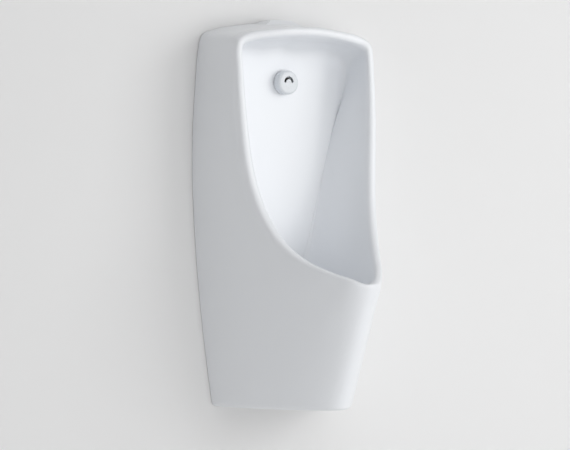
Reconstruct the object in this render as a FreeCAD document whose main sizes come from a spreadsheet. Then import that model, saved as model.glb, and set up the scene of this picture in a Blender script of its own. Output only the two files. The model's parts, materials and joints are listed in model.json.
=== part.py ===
"""Wall hung urinal: a glazed ceramic bowl with its spray, flush, control, waste and hanging pieces.

Millimetres. The wall is the plane y = 0, the bowl looks towards -Y, +Z is up and z = 0 is the foot
of the ceramic. The origin is on the wall, at the middle of the ceramic's foot. In the ceramic's
formulas a depth is the distance in front of the wall, so y = -depth.
"""
import FreeCAD, Part
import Sketcher
import math
import os

V = FreeCAD.Vector
doc = FreeCAD.newDocument("urinal")

# ------------------------------------------------------------------ driving sizes
SIZES = [
    # ceramic, outside
    ("crown_height", 696), ("crown_radius", 520), ("crown_fall_deg", 6.1), ("corner_radius", 28),
    ("foot_half", 128), ("widest_half", 171), ("widest_share", 0.6394),
    ("shoulder_half", 158), ("shoulder_drop", 43),
    ("foot_depth", 218), ("lip_depth", 313), ("lip_height", 226), ("nose_swell", 24),
    ("nose_radius", 42), ("nose_radius_top", 128), ("nose_grow_share", 0.431), ("taper_ease_share", 0.489),
    ("taper_low_deg", 9), ("taper_high_deg", 1), ("foot_edge_radius", 9),
    ("pad_half", 50), ("pad_top_half", 22), ("pad_depth", 46), ("pad_rise", 4),
    # ceramic, rim and bowl
    ("rim_depth", 112.6), ("rim_lean_deg", 5.1), ("lip_fall_deg", 23.1), ("bend_share", 0.5504),
    ("bend_short", 61), ("rim_bow", 9), ("rim_thickness", 15), ("back_depth", 40),
    ("crease_radius", 52), ("top_crease_radius", 28), ("floor_height", 140), ("pan_fall_height", 95),
    ("drain_depth", 135), ("pan_radius", 37), ("seat_sink", 1.5), ("seat_depth", 6),
    ("wall_thickness", 12), ("pocket_share", 0.565), ("pocket_depth", 105), ("pocket_top_depth", 72),
    # ceramic, rails behind
    ("rail_back", 5), ("rail_front", 17), ("rail_drop", 86),
    ("cleat_inner", 62), ("cleat_depth", 12), ("foot_rail_top", 24), ("cleat_top", 80),
    ("cleat_hole_x", 100), ("cleat_hole_z", 55), ("cleat_hole_radius", 5),
    # spray
    ("spray_drop", 110), ("spray_hole_radius", 11), ("spray_thread_radius", 9),
    ("spray_bore_radius", 5), ("gasket_thickness", 1.5), ("gasket_radius", 19),
    ("cap_radius", 22), ("cap_length", 16), ("cap_round", 5), ("cap_face", 3),
    ("slot_radius", 7.5), ("slot_width", 5), ("slot_rise", 1), ("slot_end_rise", 1),
    ("flange_radius", 15), ("flange_thickness", 3), ("nut_thickness", 6), ("spray_nut_radius", 17),
    ("elbow_radius", 11), ("elbow_back", 5), ("elbow_neck_radius", 8.2), ("elbow_drop", 30),
    ("elbow_axis_depth", 11.25), ("check_bore_radius", 6.2), ("check_seat_bore", 3.6),
    ("check_clearance", 0.08),
    # hose
    ("hose_radius", 6.5), ("hose_nut_radius", 11), ("hose_nut_length", 14),
    # flush valve
    ("valve_x", 98), ("valve_z", 232), ("valve_half", 17), ("valve_back", 14), ("valve_front", 44),
    ("valve_up", 25), ("inlet_axis_depth", 34), ("outlet_axis_depth", 24), ("port_radius", 9),
    ("valve_bore_radius", 5), ("chamber_radius", 13), ("chamber_depth", 8), ("seat_radius", 7),
    ("diaphragm_radius", 15), ("diaphragm_thickness", 1.5), ("bonnet_thickness", 7.5),
    ("guide_radius", 6), ("guide_length", 42), ("plunger_radius", 4.5), ("plunger_clearance", 0.05),
    ("plunger_length", 28), ("plunger_travel", 3), ("coil_inner", 6.4), ("coil_outer", 13),
    ("case_radius", 16), ("case_gap", 4), ("case_length", 31), ("case_wall", 2.2),
    ("screw_offset", 12.5), ("screw_radius", 1.6), ("screw_head_radius", 2.8), ("screw_head", 3),
    # stop valve
    ("stop_z", 158), ("stop_radius", 13), ("stop_length", 44), ("tail_radius", 10.4),
    ("tail_length", 12), ("tail_gap", 1), ("tail_neck_radius", 10), ("stop_bore_radius", 9),
    ("spindle_radius", 4), ("spindle_clearance", 0.05), ("knob_radius", 15), ("knob_length", 14),
    ("rosette_radius", 26), ("rosette_thickness", 4),
    # sensor and control
    ("sensor_drop", 186), ("sensor_half", 20), ("sensor_height", 58), ("sensor_depth", 14),
    ("shell_wall", 2), ("board_thickness", 1.6), ("control_x", -98), ("control_half", 20),
    ("control_back", 14), ("control_front", 60), ("control_bottom", 160), ("control_top", 258),
    ("tray_height", 56), ("tray_clearance", 0.1), ("cell_radius", 7.1), ("cell_length", 50),
    ("cable_radius", 2), ("cable_lift", 30), ("cable_reach", 20), ("cable_rise", 122),
    ("cable_beside", 14),
    # waste
    ("drain_hole_radius", 25), ("waste_radius", 24), ("waste_bore_radius", 21),
    ("waste_flange_radius", 33), ("waste_flange_thickness", 2.5), ("seal_thickness", 1),
    ("waste_length", 37), ("waste_nut_radius", 35), ("waste_nut_height", 8.5),
    ("washer_thickness", 1.5), ("trap_radius", 36), ("trap_wall", 3), ("trap_drop", 128),
    ("neck_height", 14), ("neck_drop", 28), ("neck_radius", 28.5), ("neck_clearance", 0.3),
    ("trap_nut_radius", 34), ("outlet_drop", 66), ("outlet_radius", 19.7), ("outlet_wall", 2),
    ("outlet_into_wall", 40), ("spigot_radius", 20), ("stub_length", 16), ("stub_wall", 3),
    ("outlet_nut_wall", 5), ("outlet_nut_grip", 10), ("insert_radius", 20.9), ("insert_tube_radius", 17),
    ("insert_drop", 118), ("insert_wall", 2), ("strainer_radius", 28), ("strainer_thickness", 4),
    ("waste_rosette_radius", 34),
    # hanging
    ("bracket_half", 112), ("bracket_height", 50), ("bracket_thickness", 3), ("hook_x", 62),
    ("hook_width", 30), ("hook_reach", 24), ("hook_lip", 22), ("pad_thickness", 3),
    ("slot_x", 88), ("slot_rise_z", 18), ("bolt_slot_radius", 4.5), ("bolt_slot_length", 20),
    ("bush_flange_radius", 9), ("bush_flange", 2), ("bush_bore_radius", 3.2),
]

sheet = doc.addObject("Spreadsheet::Sheet", "Sizes")
for row, (alias, value) in enumerate(SIZES, start=1):
    sheet.set("A%d" % row, alias)
    sheet.set("B%d" % row, str(value))
    sheet.setAlias("B%d" % row, alias)
doc.recompute()


def size(alias):
    return float(sheet.get(alias))


# heights that hang from the crown or stand between other sizes
SHOULDER = size("crown_height") - size("shoulder_drop")
NOSE_GROW = size("nose_grow_share") * size("crown_height")
BOWL_SPAN = SHOULDER - size("floor_height")
RAIL_LOW = size("crown_height") - size("rail_drop")
SPRAY_HEIGHT = size("crown_height") - size("spray_drop")
SPRAY_Z = "(crown_height-spray_drop)"
RAIL_Z = "(crown_height-rail_drop)"
SENSOR_Z = "(crown_height-spray_drop-sensor_drop)"
BRACKET_Z = "(crown_height-rail_drop-bracket_height)"


# ------------------------------------------------------------------ helpers
PARTS = []
TURN = {
    "up": FreeCAD.Rotation(),
    "down": FreeCAD.Rotation(V(1, 0, 0), 180),
    "front": FreeCAD.Rotation(V(1, 0, 0), 90),
    "back": FreeCAD.Rotation(V(1, 0, 0), -90),
}


def bound(text):
    """Turn an expression of aliases into one that reads the sheet."""
    out = ""
    word = ""
    for c in text + " ":
        if c.isalnum() or c == "_":
            word += c
            continue
        named = word and not word[0].isdigit() and word not in ("cos", "sin", "sqrt")
        out += "Sizes." + word if named else word
        word = ""
        out += c
    return out.strip()


def bind(obj, prop, text):
    obj.setExpression(prop, bound(str(text)))


def place(obj, at, turn="up"):
    """Put an object at a point given by three expressions, turned one of the four ways."""
    obj.Placement = FreeCAD.Placement(V(), TURN[turn])
    for axis, text in zip("xyz", at):
        bind(obj, "Placement.Base." + axis, text)
    return obj


def keep(obj, label):
    """Name the object as one piece of the urinal."""
    obj.Label = label
    PARTS.append(obj)
    return obj


def polygon(body, plane, points, name):
    """A sketch of straight sides whose corners are bound to expressions."""
    sketch = body.newObject("Sketcher::SketchObject", name)
    support = [f for f in body.Origin.OriginFeatures if f.Role == plane][0]
    sketch.AttachmentSupport = [(support, "")]
    sketch.MapMode = "FlatFace"
    count = len(points)
    rough = [V(10.0 * math.cos(6.28 * i / count) + 40, 10.0 * math.sin(6.28 * i / count), 0)
             for i in range(count)]
    for i in range(count):
        sketch.addGeometry(Part.LineSegment(rough[i], rough[(i + 1) % count]), False)
    for i in range(count):
        sketch.addConstraint(Sketcher.Constraint("Coincident", i, 2, (i + 1) % count, 1))
    for i, (across, along) in enumerate(points):
        for kind, text in (("DistanceX", across), ("DistanceY", along)):
            at = sketch.addConstraint(Sketcher.Constraint(kind, -1, 1, i, 1, 1.0))
            sketch.setExpression("Constraints[%d]" % at, bound(str(text)))
    return sketch


def turned(name, profile, at, turn="up"):
    """A lathe-turned piece: a closed profile of (radius, height) swept round its own Z axis."""
    body = doc.addObject("PartDesign::Body", name)
    sketch = polygon(body, "XZ_Plane", profile, name + "_profile")
    spin = body.newObject("PartDesign::Revolution", name + "_turn")
    spin.Profile = sketch
    spin.ReferenceAxis = (sketch, ["V_Axis"])
    spin.Angle = 360
    return place(body, at, turn)


def ring(name, inner, outer, low, high, at, turn="up"):
    """A plain ring or washer between two radii and two heights."""
    return turned(name, [(inner, low), (outer, low), (outer, high), (inner, high)], at, turn)


def box(name, low, spans):
    """A box from its lowest corner and its three spans, all expressions."""
    solid = doc.addObject("Part::Box", name)
    for prop, text in zip(("Length", "Width", "Height"), spans):
        bind(solid, prop, text)
    return place(solid, low)


def rod(name, radius, length, at, turn="up"):
    solid = doc.addObject("Part::Cylinder", name)
    bind(solid, "Radius", radius)
    bind(solid, "Height", length)
    return place(solid, at, turn)


def hexagon(name, radius, length, at, turn="up"):
    solid = doc.addObject("Part::Prism", name)
    solid.Polygon = 6
    bind(solid, "Circumradius", radius)
    bind(solid, "Height", length)
    return place(solid, at, turn)


def joined(name, pieces):
    solid = doc.addObject("Part::MultiFuse", name)
    solid.Shapes = pieces
    return solid


def cut(name, base, tools):
    solid = doc.addObject("Part::Cut", name)
    solid.Base = base
    solid.Tool = tools[0] if len(tools) == 1 else joined(name + "_tools", tools)
    return solid


def shaped(label, shape):
    """A piece whose form only Part's own functions can make."""
    solid = doc.addObject("Part::Feature", label)
    solid.Shape = shape
    return keep(solid, label)


# ------------------------------------------------------------------ ceramic, formulas of the outside
def mix(a, b, share):
    return a + (b - a) * share


def clamp(value):
    return max(0.0, min(1.0, value))


def half_width(z):
    """Half the ceramic's width at the wall: widest at one height, drawn in below and above it."""
    widest, level = size("widest_half"), size("widest_share") * size("crown_height")
    if z < level:
        return widest - (widest - size("foot_half")) * ((level - z) / level) ** 1.75
    rise = (z - level) / (SHOULDER - level)
    return widest - (widest - size("shoulder_half")) * rise ** 1.8


def nose_depth(z):
    """How far the nose of a level section stands from the wall; above the lip the nose is cut away."""
    slope = (size("lip_depth") - size("foot_depth")) / size("lip_height")
    if z < size("lip_height"):
        return size("foot_depth") + slope * z
    spare = size("nose_swell")
    return size("lip_depth") + spare * (1 - math.exp(-slope * (z - size("lip_height")) / spare))


def plan(z, inset):
    """Level section: a side arc from the wall, tangent to a nose arc on the middle plane."""
    rise = clamp((z - NOSE_GROW) / (SHOULDER - NOSE_GROW))
    nose = mix(size("nose_radius"), size("nose_radius_top"), rise * rise)
    ease = clamp((z - NOSE_GROW) / (size("taper_ease_share") * size("crown_height")))
    taper = math.radians(mix(size("taper_low_deg"), size("taper_high_deg"), ease * ease * (3 - 2 * ease)))
    wide, deep = half_width(z), nose_depth(z)
    c, s = math.cos(taper), math.sin(taper)
    side = (wide ** 2 + (deep - nose) ** 2 - nose ** 2) / (2 * (wide * c - (deep - nose) * s - nose))
    cx, cy = wide - side * c, -side * s
    meet = math.atan2(deep - nose - cy, -cx)
    start = math.asin(-cy / (side - inset))
    return cx, cy, side - inset, start, meet, nose - inset, deep - nose


def plan_point(z, share, inset=0.0):
    """The point at a share of the section's half outline, from the wall to the nose."""
    cx, cy, side, start, meet, nose, centre = plan(z, inset)
    length = side * (meet - start)
    run = share * (length + nose * (math.pi / 2 - meet))
    if run <= length:
        return cx + side * math.cos(start + run / side), cy + side * math.sin(start + run / side)
    angle = meet + (run - length) / nose
    return nose * math.cos(angle), centre + nose * math.sin(angle)


def plan_share(z, depth, inset=0.0):
    """The share of the half outline at which the section reaches a depth."""
    cx, cy, side, start, meet, nose, centre = plan(z, inset)
    length = side * (meet - start)
    whole = length + nose * (math.pi / 2 - meet)
    if depth <= cy + side * math.sin(meet):
        return side * (math.asin((depth - cy) / side) - start) / whole
    return (length + nose * (math.asin(clamp((depth - centre) / nose)) - meet)) / whole


def crown(x, depth, drop=0.0):
    """Height of the crowned top, a leaning cylinder, or of the same crown dropped by a wall."""
    radius = size("crown_radius") - drop
    fall = math.tan(math.radians(size("crown_fall_deg")))
    return size("crown_height") - drop - radius + math.sqrt(radius ** 2 - x ** 2) - fall * depth


def shoulder(depth, drop, radius):
    """Front view of the top corner at one depth: end of the side, sharp corner, end of the crown."""
    z = crown(size("shoulder_half"), depth, drop)
    for _ in range(6):
        x = plan_point(z, plan_share(z, depth, drop), drop)[0]
        z = crown(x, depth, drop)
    lean = math.asin(x / (size("crown_radius") - drop))
    reach = radius * math.tan((math.pi / 2 - lean) / 2)
    side = (plan_point(z - reach, plan_share(z - reach, depth, drop), drop)[0], z - reach)
    flat = x - reach * math.cos(lean)
    return side, (x, z), (flat, crown(flat, depth, drop))


# ------------------------------------------------------------------ ceramic, the rim
CROWN_STEPS = 3
SIDE_POINTS = 20


def rim_upper(z):
    """Depth of the rim's upper run at a height."""
    lean = math.tan(math.radians(size("rim_lean_deg")))
    return size("rim_depth") + lean * (SHOULDER - z)


def rim_lower(depth):
    """Height of the rim's lower run at a depth."""
    fall = math.tan(math.radians(size("lip_fall_deg")))
    return size("lip_height") + fall * (size("lip_depth") - depth)


def rim_side_view(top):
    """Side view of the rim: a leaning run, a long bend and a run down to the lip, as (depth, z)."""
    start = z = mix(size("lip_height"), SHOULDER, size("bend_share"))
    for _ in range(60):
        z = rim_lower(rim_upper(z))
    first = (rim_upper(start), start)
    corner = (rim_upper(z), z)
    end = size("lip_depth") - size("bend_short")
    last = (end, rim_lower(end))
    steps = 60
    levels = [mix(top, first[1], i / steps) for i in range(steps)]
    points = [(rim_upper(level), level) for level in levels]
    points += [curve3(first, corner, last, i / steps) for i in range(steps)]
    depths = [mix(last[0], size("lip_depth"), 1 - (1 - i / steps) ** 1.5) for i in range(steps)]
    lip = (size("lip_depth"), size("lip_height"))
    return points + [(depth, rim_lower(depth)) for depth in depths] + [lip]


def curve3(a, b, c, t):
    """Point on the curve from a to c that leaves and arrives along the lines to b."""
    return tuple((1 - t) ** 2 * p + 2 * t * (1 - t) * q + t * t * r for p, q, r in zip(a, b, c))


def lerp(a, b, t):
    return tuple(mix(p, q, t) for p, q in zip(a, b))


def towards(a, b, length):
    return lerp(a, b, length / math.dist(a, b))


def rim_marks(drop, radius):
    """The rim from its top centre down to the nose: places on the crown, corner and side."""
    depth = size("rim_depth")
    for _ in range(4):
        side, corner, flat = shoulder(depth, drop, radius)
        depth = rim_upper(side[1])
    marks = []
    for i in range(CROWN_STEPS + 1):
        across = i / CROWN_STEPS
        marks.append(("crown", across, depth + size("rim_bow") * (1 - across ** 2)))
    marks.append(("corner", 0.5, depth))
    fine = []
    for deep, z in rim_side_view(side[1]):
        share = plan_share(z, min(deep, nose_depth(z) - drop), drop)
        fine.append(plan_point(z, share, drop) + (z, share))
    fine[-1] = (0.0, nose_depth(fine[-1][2]) - drop, fine[-1][2], 1.0)
    run = [0.0]
    for a, b in zip(fine, fine[1:]):
        run.append(run[-1] + math.dist(a[:3], b[:3]))
    k = 0
    for i in range(SIDE_POINTS):
        goal = run[-1] * i / (SIDE_POINTS - 1)
        while k < len(run) - 2 and run[k + 1] < goal:
            k += 1
        x, deep, z, share = lerp(fine[k], fine[k + 1], (goal - run[k]) / (run[k + 1] - run[k]))
        marks.append(("side", z, share))
    return marks


def top_point(kind, across, depth, drop, radius):
    side, corner, flat = shoulder(depth, drop, radius)
    if kind == "crown":
        x = flat[0] * across
        return (x, depth, crown(x, depth, drop))
    x, z = curve3(flat, corner, side, across)
    return (x, depth, z)


def outside_point(mark, reach, fan, behind=-25.0, below=-40.0):
    """A point of the outside, reach 0 past the wall or foot, reach 1 on the rim's outer line."""
    kind, a, b = mark
    if kind != "side":
        return top_point(kind, a, mix(behind, b, reach), 0.0, size("corner_radius"))
    level, share = a, None
    if fan is not None:
        foot_run = size("foot_depth") + size("nose_radius")
        run = fan * (NOSE_GROW - below + foot_run)
        level = max(below, NOSE_GROW - run)
        if run > NOSE_GROW - below:
            share = mix(plan_share(below, behind), 1.0, (run - NOSE_GROW + below) / foot_run)
    if share is None:
        share = plan_share(level, behind)
    z = mix(level, a, reach)
    x, depth = plan_point(z, mix(share, b, reach))
    return (x, depth, z)


# ------------------------------------------------------------------ ceramic, rings from wall to drain
def crease_marks():
    """Where the bowl's walls turn onto its back: a funnel outline, (x, depth, z), chosen by eye."""
    back, drain = size("back_depth"), size("drain_depth")
    across = [(0, 0, 1.008), (0.38, 0, 1.004), (0.747, 0, 0.99), (0.886, 0, 0.945), (0.892, 0, 0.897),
              (0.804, 0, 0.823), (0.677, 0.025, 0.702), (0.589, 0.05, 0.585), (0.5, 0.075, 0.468),
              (0.43, 0.15, 0.351), (0.367, 0.3, 0.238), (0.329, 0.7, 0.1326), (0.297, 1.25, 0.0624)]
    marks = [(size("shoulder_half") * x, back * (1 + d), size("floor_height") + BOWL_SPAN * z)
             for x, d, z in across]
    for x, ahead, z in ((0.26, -0.35, 0.0292), (0.177, 0.6, 0.0175), (0, 1, 0.0136)):
        marks.append((size("shoulder_half") * x, drain + size("pan_radius") * ahead,
                      size("floor_height") + BOWL_SPAN * z))
    return marks


def bowl_rings(rim_in):
    """Rings of the bowl from the rim's inner line to the pan round the drain."""
    line = Part.BSplineCurve()
    line.interpolate([V(*p) for p in crease_marks()])
    run = [0.0]
    for a, b in zip(rim_in, rim_in[1:]):
        run.append(run[-1] + math.dist(a, b))
    shares = [v / run[-1] for v in run]
    whole = line.length()
    crease = []
    for share in shares:
        p = line.value(line.parameterAtDistance(whole * share, line.FirstParameter))
        crease.append((p.x, p.y, p.z))
    pan, deep, floor = size("pan_radius"), size("drain_depth"), size("floor_height") + size("seat_sink")
    foot = crease_marks()[10]
    high = sum(1 for k in crease if k[2] > foot[2])
    turned_to = math.atan2(foot[0], foot[1] - deep)
    angles = [mix(math.pi, turned_to, i / high) if i < high else math.atan2(k[0], k[1] - deep)
              for i, k in enumerate(crease)]
    angles[-1] = 0.0
    drain = [(pan * math.sin(a), deep + pan * math.cos(a), floor) for a in angles]
    ways = [clamp((crease[0][2] - k[2]) / (0.2 * BOWL_SPAN)) for k in crease]
    bend = [min(mix(size("top_crease_radius"), size("crease_radius"), way), 0.55 * math.dist(a, k))
            for a, k, way in zip(rim_in, crease, ways)]
    begin = [towards(k, a, length) for a, k, length in zip(rim_in, crease, bend)]
    share_after = [min(0.45, length / math.dist(k, d)) for length, k, d in zip(bend, crease, drain)]
    after = [back_sheet(k, d, f) for k, d, f in zip(crease, drain, share_after)]
    turn = [curve3(a, k, c, 0.5) for a, k, c in zip(begin, crease, after)]
    rings = [begin, turn, after]
    for t in (0.2, 0.42, 0.64, 0.82, 0.94, 1.0):
        rings.append([back_sheet(k, d, mix(f, 1.0, t)) for k, d, f in zip(crease, drain, share_after)])
    return rings, crease


def back_sheet(start, end, share):
    """The bowl's back: upright, then a quarter ellipse forward into the pan."""
    x, z = mix(start[0], end[0], share), mix(start[2], end[2], share)
    level = min(start[2], end[2] + size("pan_fall_height"))
    fall = clamp((level - z) / (level - end[2])) if level > end[2] + 0.001 else share
    return (x, mix(start[1], end[1], 1 - math.sqrt(max(0.0, 1 - fall ** 2))), z)


def closed(half):
    """A whole ring from its right half, with y = -depth."""
    return [V(x, -d, z) for x, d, z in half] + [V(-x, -d, z) for x, d, z in reversed(half[1:-1])]


def mean_steps(rows):
    """Shared spline parameters: the mean share of each step along rows of points."""
    steps = [0.0] * (len(rows[0]) - 1)
    for row in rows:
        lengths = [(b - a).Length for a, b in zip(row, row[1:])]
        whole = sum(lengths)
        steps = [s + length / whole for s, length in zip(steps, lengths)]
    out = [0.0]
    for step in steps:
        out.append(out[-1] + step / len(rows))
    return out


def steps_round(rings):
    return mean_steps([r + [r[0]] for r in rings])


def skin(rings, round_steps, smooth=True):
    """One spline face through closed rings of points, and the curves of its first and last rings."""
    curves = []
    for r in rings:
        curve = Part.BSplineCurve()
        curve.interpolate(Points=r, PeriodicFlag=True, Parameters=round_steps)
        curves.append(curve)
    poles = [curve.getPoles() for curve in curves]
    columns = [list(column) for column in zip(*poles)]
    if smooth:
        along = mean_steps([list(column) for column in zip(*rings)])
        lines = []
        for column in columns:
            line = Part.BSplineCurve()
            line.interpolate(Points=column, Parameters=along)
            lines.append(line)
        columns = [line.getPoles() for line in lines]
        counts, knots, degree = lines[0].getMultiplicities(), lines[0].getKnots(), 3
    else:
        counts, knots, degree = [2, 2], [0.0, 1.0], 1
    first = curves[0]
    surface = Part.BSplineSurface()
    surface.buildFromPolesMultsKnots(
        columns, first.getMultiplicities(), counts, first.getKnots(), knots, True, False, 3, degree)
    return surface.toShape(), curves[0], curves[-1]


def cap(curve):
    return Part.Face(Part.Wire([curve.toShape()]))


def closed_solid(faces):
    shell = Part.Shell(faces)
    shell.sewShape()
    solid = Part.Solid(shell)
    if solid.Volume < 0:
        solid.reverse()
    return solid


def block(x0, d0, z0, x1, d1, z1):
    """A box between two corners given as (x, depth, z)."""
    return Part.makeBox(x1 - x0, d1 - d0, z1 - z0, V(x0, -d1, z0))


def ceramic_rings():
    """All rings of the ceramic's skin: outside from past the wall, round the rim, down the bowl."""
    wall = size("rim_thickness")
    corner = size("corner_radius")
    marks = rim_marks(0.0, corner)
    inner_marks = rim_marks(wall, max(6.0, corner - wall))
    side = [i for i, m in enumerate(marks) if m[0] == "side"]
    first = [i for i in side if marks[i][1] < 1.13 * NOSE_GROW][0]
    last = len(marks) - 1
    fans = [None if i < first else (i - first + 0.5) / (last - first + 0.5) for i in range(last + 1)]
    rings = []
    for reach in (0.0, 0.12, 0.3, 0.5, 0.7, 0.86):
        rings.append([outside_point(m, reach, f) for m, f in zip(marks, fans)])
    out = [outside_point(m, 1.0, f) for m, f in zip(marks, fans)]
    behind = [outside_point(m, 0.98, f) for m, f in zip(marks, fans)]
    inner = []
    for kind, a, b in inner_marks:
        if kind == "side":
            inner.append(plan_point(a, b, wall) + (a,))
        else:
            inner.append(top_point(kind, a, b, wall, max(6.0, corner - wall)))
    rest, crease = bowl_rings(inner)
    middle = [lerp(a, b, 0.5) for a, b in zip(out, inner)]
    outer_start = [towards(a, b, wall / 2) for a, b in zip(out, behind)]
    inner_start = [towards(a, k, wall / 2) for a, k in zip(inner, crease)]
    rings.append(outer_start)
    rings.append([curve3(a, b, c, 0.5) for a, b, c in zip(outer_start, out, middle)])
    rings.append(middle)
    rings.append([curve3(a, b, c, 0.5) for a, b, c in zip(middle, inner, inner_start)])
    rings.append(inner_start)
    for t in (0.33, 0.66):
        rings.append([lerp(a, b, t) for a, b in zip(inner_start, rest[0])])
    return rings + rest


def back_hollow():
    """The flat space behind the bowl's back, from side to side, with the hanging rail left across it."""
    inset = size("wall_thickness") + 4
    deep = size("back_depth") - size("wall_thickness") - 1
    low, high = size("floor_height") - size("wall_thickness") - 8, size("crown_height") + 30
    steps = 12
    levels = [mix(low, high, i / steps) for i in range(steps + 1)]
    side = [V(plan_point(z, plan_share(z, deep, inset), inset)[0], 5, z) for z in levels]
    other = [V(-p.x, p.y, p.z) for p in reversed(side)]
    right, left = Part.BSplineCurve(), Part.BSplineCurve()
    right.interpolate(side)
    left.interpolate(other)
    wire = Part.Wire([right.toShape(), Part.makeLine(side[-1], other[0]), left.toShape(),
                      Part.makeLine(other[-1], side[0])])
    space = Part.Face(wire).extrude(V(0, -deep - 5, 0))
    lean = math.radians(size("crown_fall_deg"))
    along = V(0, -math.cos(lean), -math.sin(lean))
    centre = V(0, 0, size("crown_height") - size("crown_radius")) - along * 300
    crown_space = Part.makeCylinder(size("crown_radius") - inset, 800, centre, along)
    space = space.common(crown_space)
    return space.cut(block(-200, size("rail_back"), RAIL_LOW, 200, size("rail_front"), high))


def foot_hollow():
    """The space below the bowl: the outside drawn in by a wall, less the foot rail and the cleats."""
    wall = size("wall_thickness")
    top = size("floor_height") - wall - 2
    steps = 4
    hull = []
    for z in [mix(-20, top, i / steps) for i in range(steps + 1)]:
        half = [(0.0, -60.0, z), (0.6 * half_width(z), -55.0, z)]
        for i in range(11):
            share = mix(plan_share(z, -30.0, wall), 1.0, i / 10)
            x, depth = plan_point(z, share, wall)
            half.append((0.0 if i == 10 else x, depth, z))
        hull.append(closed(half))
    face, low, high = skin(hull, steps_round(hull))
    space = closed_solid([face, cap(low), cap(high)])
    deep, inner = size("cleat_depth"), size("cleat_inner")
    space = space.cut(block(-200, -80, -40, 200, deep, size("foot_rail_top")))
    space = space.cut(block(-200, -80, -30, -inner, deep, size("cleat_top")))
    return space.cut(block(inner, -80, -30, 200, deep, size("cleat_top")))


def crease_half(z):
    """Half the width of the bowl's back at a height, never less than at its narrow foot."""
    marks = crease_marks()[5:11]
    if z <= marks[-1][2]:
        return marks[-1][0]
    for (x0, d0, z0), (x1, d1, z1) in zip(marks, marks[1:]):
        if z >= z1:
            return mix(x1, x0, (z - z1) / (z0 - z1))
    return marks[-1][0]


def pocket(sign):
    """The space beside the bowl, for the flush valve or the control case: level straight sided sections."""
    wall = size("wall_thickness")
    low, high = size("floor_height") - wall - 8, mix(size("floor_height"), SHOULDER, size("pocket_share"))
    rim = rim_side_view(SHOULDER)
    narrow = crease_marks()[10][2]
    sections = []
    steps = 7
    for i in range(steps + 1):
        z = mix(low, high, i / steps)
        level = max(z, narrow)
        rim_deep = min(rim, key=lambda p: abs(p[1] - level))[0]
        rim_half = plan_point(level, plan_share(level, rim_deep, size("rim_thickness")),
                              size("rim_thickness"))[0]
        start, back = crease_half(level), size("back_depth") + 2
        lean = (rim_half - start) / (rim_deep - back)
        front = mix(size("pocket_depth"), size("pocket_top_depth"), clamp((z - narrow) / (high - narrow)))
        beside = [start + (deep - back) * lean + (wall + 3) * math.sqrt(1 + lean ** 2)
                  for deep in (20, front)]
        side = [plan_point(z, plan_share(z, deep, wall + 1), wall + 1)[0] for deep in (0, 30, 60, front)]
        corners = [(beside[0], -5), (side[0], -5), (side[1], 30), (side[2], 60), (side[3], front),
                   (beside[1], front), (beside[0], 20)]
        ring = [V(sign * x, -deep, z) for x, deep in corners]
        sections.append(Part.makePolygon(ring + [ring[0]]))
    return Part.makeLoft(sections, True, True)


def make_ceramic():
    rings = ceramic_rings()
    start = [closed(r) for r in rings]
    steps = steps_round(start)
    face, first, last = skin(start, steps)
    angles = [2 * math.pi * step for step in steps[:-1]]
    heart = [V(15 * math.sin(a), 60 + 11 * math.cos(a), 11 * math.cos(a) - 60) for a in angles]
    skirt, far, _near = skin([heart, start[0]], steps, smooth=False)
    body = closed_solid([skirt, face, cap(far), cap(last)])
    body = body.common(block(-400, 0, 0, 400, 600, 900))
    foot = [e for e in body.Edges if e.BoundBox.ZMax < 0.01 and e.BoundBox.YMin < -100]
    body = body.makeFillet(size("foot_edge_radius"), foot)
    # raised pad at the back of the crown
    high, rise = size("crown_height"), size("pad_rise")
    low_half, top_half, deep = size("pad_half"), size("pad_top_half"), size("pad_depth")
    lower = Part.makePolygon([V(-low_half, 0, high - 8), V(low_half, 0, high - 8),
                              V(low_half, -deep, high - 12), V(-low_half, -deep, high - 12),
                              V(-low_half, 0, high - 8)])
    upper = Part.makePolygon([V(-top_half, 0, high + rise), V(top_half, 0, high + rise),
                              V(top_half, 14 - deep, high + rise), V(-top_half, 14 - deep, high + rise),
                              V(-top_half, 0, high + rise)])
    body = body.fuse(Part.makeLoft([lower, upper], True, True))
    # flat round seat for the spray's gasket
    seat = V(0, size("seat_depth") - size("back_depth"), SPRAY_HEIGHT)
    body = body.fuse(Part.makeCylinder(size("gasket_radius") + 1, size("seat_depth"), seat, V(0, -1, 0)))
    for space in (back_hollow(), foot_hollow(), pocket(1), pocket(-1)):
        body = body.cut(space)
    # holes
    drain = V(0, -size("drain_depth"), size("floor_height"))
    holes = [Part.makeCylinder(size("waste_flange_radius") + 2, 14, drain),
             Part.makeCylinder(size("spray_hole_radius"), 60, V(0, -70, SPRAY_HEIGHT), V(0, 1, 0)),
             Part.makeCylinder(size("drain_hole_radius"), 40, drain - V(0, 0, 30))]
    for sign in (-1, 1):
        at = V(sign * size("cleat_hole_x"), 5, size("cleat_hole_z"))
        holes.append(Part.makeCylinder(size("cleat_hole_radius"), size("cleat_depth") + 10, at, V(0, -1, 0)))
    for hole in holes:
        body = body.cut(hole)
    return body


shaped("ceramic_body", max(make_ceramic().Solids, key=lambda s: s.Volume))


# ------------------------------------------------------------------ more helpers
def rounded(body, radius, pick):
    """Round the edges of a body that the test picks."""
    doc.recompute()
    last = body.Tip
    names = ["Edge%d" % i for i, e in enumerate(last.Shape.Edges, start=1) if pick(e)]
    fillet = body.newObject("PartDesign::Fillet", body.Name + "_round")
    fillet.Base = (last, names)
    bind(fillet, "Radius", radius)
    return body


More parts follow.
